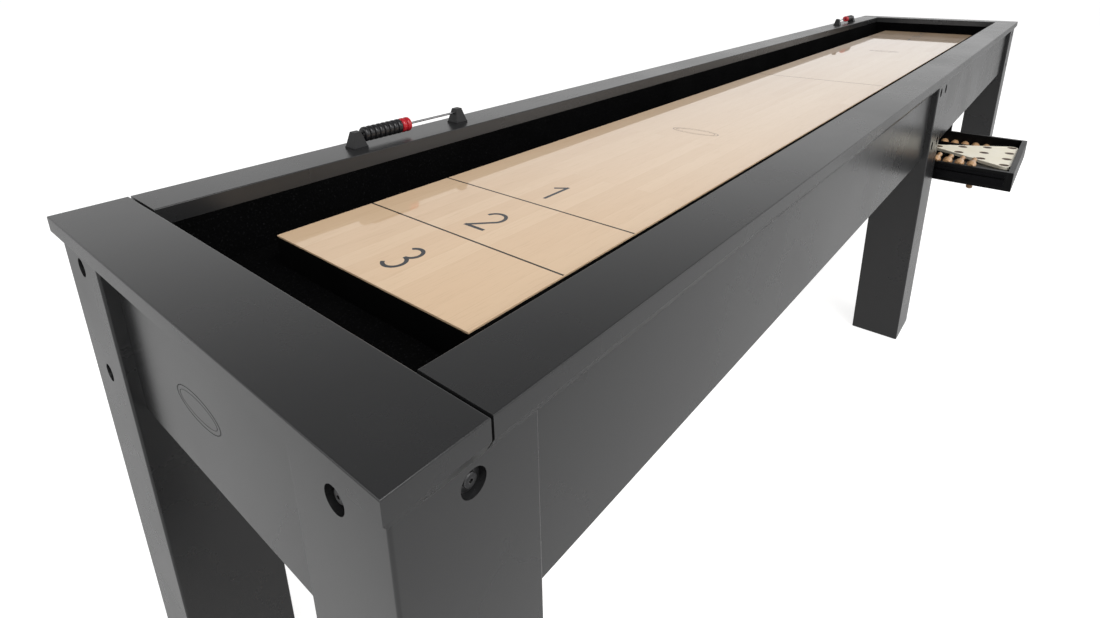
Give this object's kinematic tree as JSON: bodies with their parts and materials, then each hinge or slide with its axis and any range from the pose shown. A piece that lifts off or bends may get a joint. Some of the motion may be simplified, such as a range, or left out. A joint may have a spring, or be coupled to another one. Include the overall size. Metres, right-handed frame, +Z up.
{
  "type": "shuffleboard table",
  "caption": "Long shuffleboard table: recessed coated maple playfield in carpeted gutters, square legs, open accessory drawer and bead scorers on the back rail.",
  "frame": {"origin": "on the floor, under the middle of the cabinet", "axes": "+X along the table to its far end, -Y towards the drawer side, +Y towards the scorer side, +Z up"},
  "size_m": [3.683, 0.881, 0.8459],
  "materials": {
    "graphite_paint": "satin graphite lacquer over hardwood",
    "cabinet_wood": "raw plywood and pine",
    "black_steel": "black oxide",
    "brass_insert": "turned",
    "gutter_carpet": "short black needle-felt carpet",
    "maple": "planked maple, black painted sides",
    "clear_coat": "poured glossy coat",
    "black_paint": "gloss black lacquer",
    "black_plastic": "moulded satin",
    "bright_steel": "polished",
    "pale_ply": "birch plywood",
    "cream_board": "cream painted board with dark sockets",
    "turned_maple": "turned and waxed",
    "black_bead": "moulded gloss",
    "red_bead": "moulded gloss"
  },
  "bodies": {
    "table": {"rail_front": "graphite_paint", "rail_back": "graphite_paint", "rail_near_end": "graphite_paint", "rail_far_end": "graphite_paint", "side_aprons": "graphite_paint", "end_aprons": "graphite_paint", "carcass_front": "cabinet_wood", "carcass_back": "cabinet_wood", "carcass_ends": "cabinet_wood", "leg_near_front": "graphite_paint", "leg_near_back": "graphite_paint", "leg_mid_front": "graphite_paint", "leg_mid_back": "graphite_paint", "leg_far_front": "graphite_paint", "leg_far_back": "graphite_paint", "leg_bolts": "black_steel", "threaded_inserts": "brass_insert", "floor_board": "cabinet_wood", "gutter_carpet": "gutter_carpet", "cradle": "cabinet_wood", "playfield_slab": "maple", "playfield_coat": "clear_coat", "runners_fixed": "black_steel", "drawer_hangers": "black_paint", "scorer_brackets": "black_plastic", "scorer_rods": "bright_steel"},
    "leveller_1": {"leveller_1": "black_steel"},
    "leveller_2": {"leveller_2": "black_steel"},
    "leveller_3": {"leveller_3": "black_steel"},
    "leveller_4": {"leveller_4": "black_steel"},
    "leveller_5": {"leveller_5": "black_steel"},
    "leveller_6": {"leveller_6": "black_steel"},
    "drawer": {"drawer_front": "black_paint", "drawer_back": "black_paint", "drawer_sides": "black_paint", "drawer_bottom": "pale_ply", "pin_shelves": "pale_ply", "runners_moving": "black_steel", "setter_board": "cream_board", "setter_pins": "turned_maple"},
    "near_bead_01": {"near_bead_01": "black_bead"},
    "near_bead_02": {"near_bead_02": "black_bead"},
    "near_bead_03": {"near_bead_03": "black_bead"},
    "near_bead_04": {"near_bead_04": "black_bead"},
    "near_bead_05": {"near_bead_05": "black_bead"},
    "near_bead_06": {"near_bead_06": "black_bead"},
    "near_bead_07": {"near_bead_07": "black_bead"},
    "near_bead_08": {"near_bead_08": "black_bead"},
    "near_bead_09": {"near_bead_09": "red_bead"},
    "near_bead_10": {"near_bead_10": "red_bead"},
    "far_bead_01": {"far_bead_01": "black_bead"},
    "far_bead_02": {"far_bead_02": "black_bead"},
    "far_bead_03": {"far_bead_03": "black_bead"},
    "far_bead_04": {"far_bead_04": "black_bead"},
    "far_bead_05": {"far_bead_05": "black_bead"},
    "far_bead_06": {"far_bead_06": "black_bead"},
    "far_bead_07": {"far_bead_07": "black_bead"},
    "far_bead_08": {"far_bead_08": "black_bead"},
    "far_bead_09": {"far_bead_09": "red_bead"},
    "far_bead_10": {"far_bead_10": "red_bead"}
  },
  "joints": [
    {"name": "leveller_1_turn", "type": "hinge", "parent": "table", "child": "leveller_1", "pos_m": [-1.7635, -0.2775, 0], "axis": [0, 0, 1], "continuous": true},
    {"name": "leveller_2_turn", "type": "hinge", "parent": "table", "child": "leveller_2", "pos_m": [-1.7635, 0.2775, 0], "axis": [0, 0, 1], "continuous": true},
    {"name": "leveller_3_turn", "type": "hinge", "parent": "table", "child": "leveller_3", "pos_m": [0, -0.2775, 0], "axis": [0, 0, 1], "continuous": true},
    {"name": "leveller_4_turn", "type": "hinge", "parent": "table", "child": "leveller_4", "pos_m": [0, 0.2775, 0], "axis": [0, 0, 1], "continuous": true},
    {"name": "leveller_5_turn", "type": "hinge", "parent": "table", "child": "leveller_5", "pos_m": [1.7635, -0.2775, 0], "axis": [0, 0, 1], "continuous": true},
    {"name": "leveller_6_turn", "type": "hinge", "parent": "table", "child": "leveller_6", "pos_m": [1.7635, 0.2775, 0], "axis": [0, 0, 1], "continuous": true},
    {"name": "drawer_slide", "type": "slide", "parent": "table", "child": "drawer", "axis": [0, 1, 0], "range_m": [0, 0.206]},
    {"name": "near_bead_01_slide", "type": "slide", "parent": "table", "child": "near_bead_01", "axis": [1, 0, 0], "range_m": [0, 0.01034]},
    {"name": "near_bead_02_slide", "type": "slide", "parent": "table", "child": "near_bead_02", "axis": [1, 0, 0], "range_m": [0, 0.02068]},
    {"name": "near_bead_03_slide", "type": "slide", "parent": "table", "child": "near_bead_03", "axis": [1, 0, 0], "range_m": [0, 0.03102]},
    {"name": "near_bead_04_slide", "type": "slide", "parent": "table", "child": "near_bead_04", "axis": [1, 0, 0], "range_m": [0, 0.04136]},
    {"name": "near_bead_05_slide", "type": "slide", "parent": "table", "child": "near_bead_05", "axis": [1, 0, 0], "range_m": [0, 0.0517]},
    {"name": "near_bead_06_slide", "type": "slide", "parent": "table", "child": "near_bead_06", "axis": [1, 0, 0], "range_m": [0, 0.06204]},
    {"name": "near_bead_07_slide", "type": "slide", "parent": "table", "child": "near_bead_07", "axis": [1, 0, 0], "range_m": [0, 0.07238]},
    {"name": "near_bead_08_slide", "type": "slide", "parent": "table", "child": "near_bead_08", "axis": [1, 0, 0], "range_m": [0, 0.08272]},
    {"name": "near_bead_09_slide", "type": "slide", "parent": "table", "child": "near_bead_09", "axis": [1, 0, 0], "range_m": [0, 0.09306]},
    {"name": "near_bead_10_slide", "type": "slide", "parent": "table", "child": "near_bead_10", "axis": [1, 0, 0], "range_m": [0, 0.1034]},
    {"name": "far_bead_01_slide", "type": "slide", "parent": "table", "child": "far_bead_01", "axis": [-1, 0, 0], "range_m": [0, 0.01034]},
    {"name": "far_bead_02_slide", "type": "slide", "parent": "table", "child": "far_bead_02", "axis": [-1, 0, 0], "range_m": [0, 0.02068]},
    {"name": "far_bead_03_slide", "type": "slide", "parent": "table", "child": "far_bead_03", "axis": [-1, 0, 0], "range_m": [0, 0.03102]},
    {"name": "far_bead_04_slide", "type": "slide", "parent": "table", "child": "far_bead_04", "axis": [-1, 0, 0], "range_m": [0, 0.04136]},
    {"name": "far_bead_05_slide", "type": "slide", "parent": "table", "child": "far_bead_05", "axis": [-1, 0, 0], "range_m": [0, 0.0517]},
    {"name": "far_bead_06_slide", "type": "slide", "parent": "table", "child": "far_bead_06", "axis": [-1, 0, 0], "range_m": [0, 0.06204]},
    {"name": "far_bead_07_slide", "type": "slide", "parent": "table", "child": "far_bead_07", "axis": [-1, 0, 0], "range_m": [0, 0.07238]},
    {"name": "far_bead_08_slide", "type": "slide", "parent": "table", "child": "far_bead_08", "axis": [-1, 0, 0], "range_m": [0, 0.08272]},
    {"name": "far_bead_09_slide", "type": "slide", "parent": "table", "child": "far_bead_09", "axis": [-1, 0, 0], "range_m": [0, 0.09306]},
    {"name": "far_bead_10_slide", "type": "slide", "parent": "table", "child": "far_bead_10", "axis": [-1, 0, 0], "range_m": [0, 0.1034]}
  ],
  "couplings": [
    {"joint": "near_bead_01_slide", "follows": "near_bead_10_slide", "ratio": 0.1},
    {"joint": "near_bead_02_slide", "follows": "near_bead_10_slide", "ratio": 0.2},
    {"joint": "near_bead_03_slide", "follows": "near_bead_10_slide", "ratio": 0.3},
    {"joint": "near_bead_04_slide", "follows": "near_bead_10_slide", "ratio": 0.4},
    {"joint": "near_bead_05_slide", "follows": "near_bead_10_slide", "ratio": 0.5},
    {"joint": "near_bead_06_slide", "follows": "near_bead_10_slide", "ratio": 0.6},
    {"joint": "near_bead_07_slide", "follows": "near_bead_10_slide", "ratio": 0.7},
    {"joint": "near_bead_08_slide", "follows": "near_bead_10_slide", "ratio": 0.8},
    {"joint": "near_bead_09_slide", "follows": "near_bead_10_slide", "ratio": 0.9},
    {"joint": "far_bead_01_slide", "follows": "far_bead_10_slide", "ratio": 0.1},
    {"joint": "far_bead_02_slide", "follows": "far_bead_10_slide", "ratio": 0.2},
    {"joint": "far_bead_03_slide", "follows": "far_bead_10_slide", "ratio": 0.3},
    {"joint": "far_bead_04_slide", "follows": "far_bead_10_slide", "ratio": 0.4},
    {"joint": "far_bead_05_slide", "follows": "far_bead_10_slide", "ratio": 0.5},
    {"joint": "far_bead_06_slide", "follows": "far_bead_10_slide", "ratio": 0.6},
    {"joint": "far_bead_07_slide", "follows": "far_bead_10_slide", "ratio": 0.7},
    {"joint": "far_bead_08_slide", "follows": "far_bead_10_slide", "ratio": 0.8},
    {"joint": "far_bead_09_slide", "follows": "far_bead_10_slide", "ratio": 0.9}
  ]
}
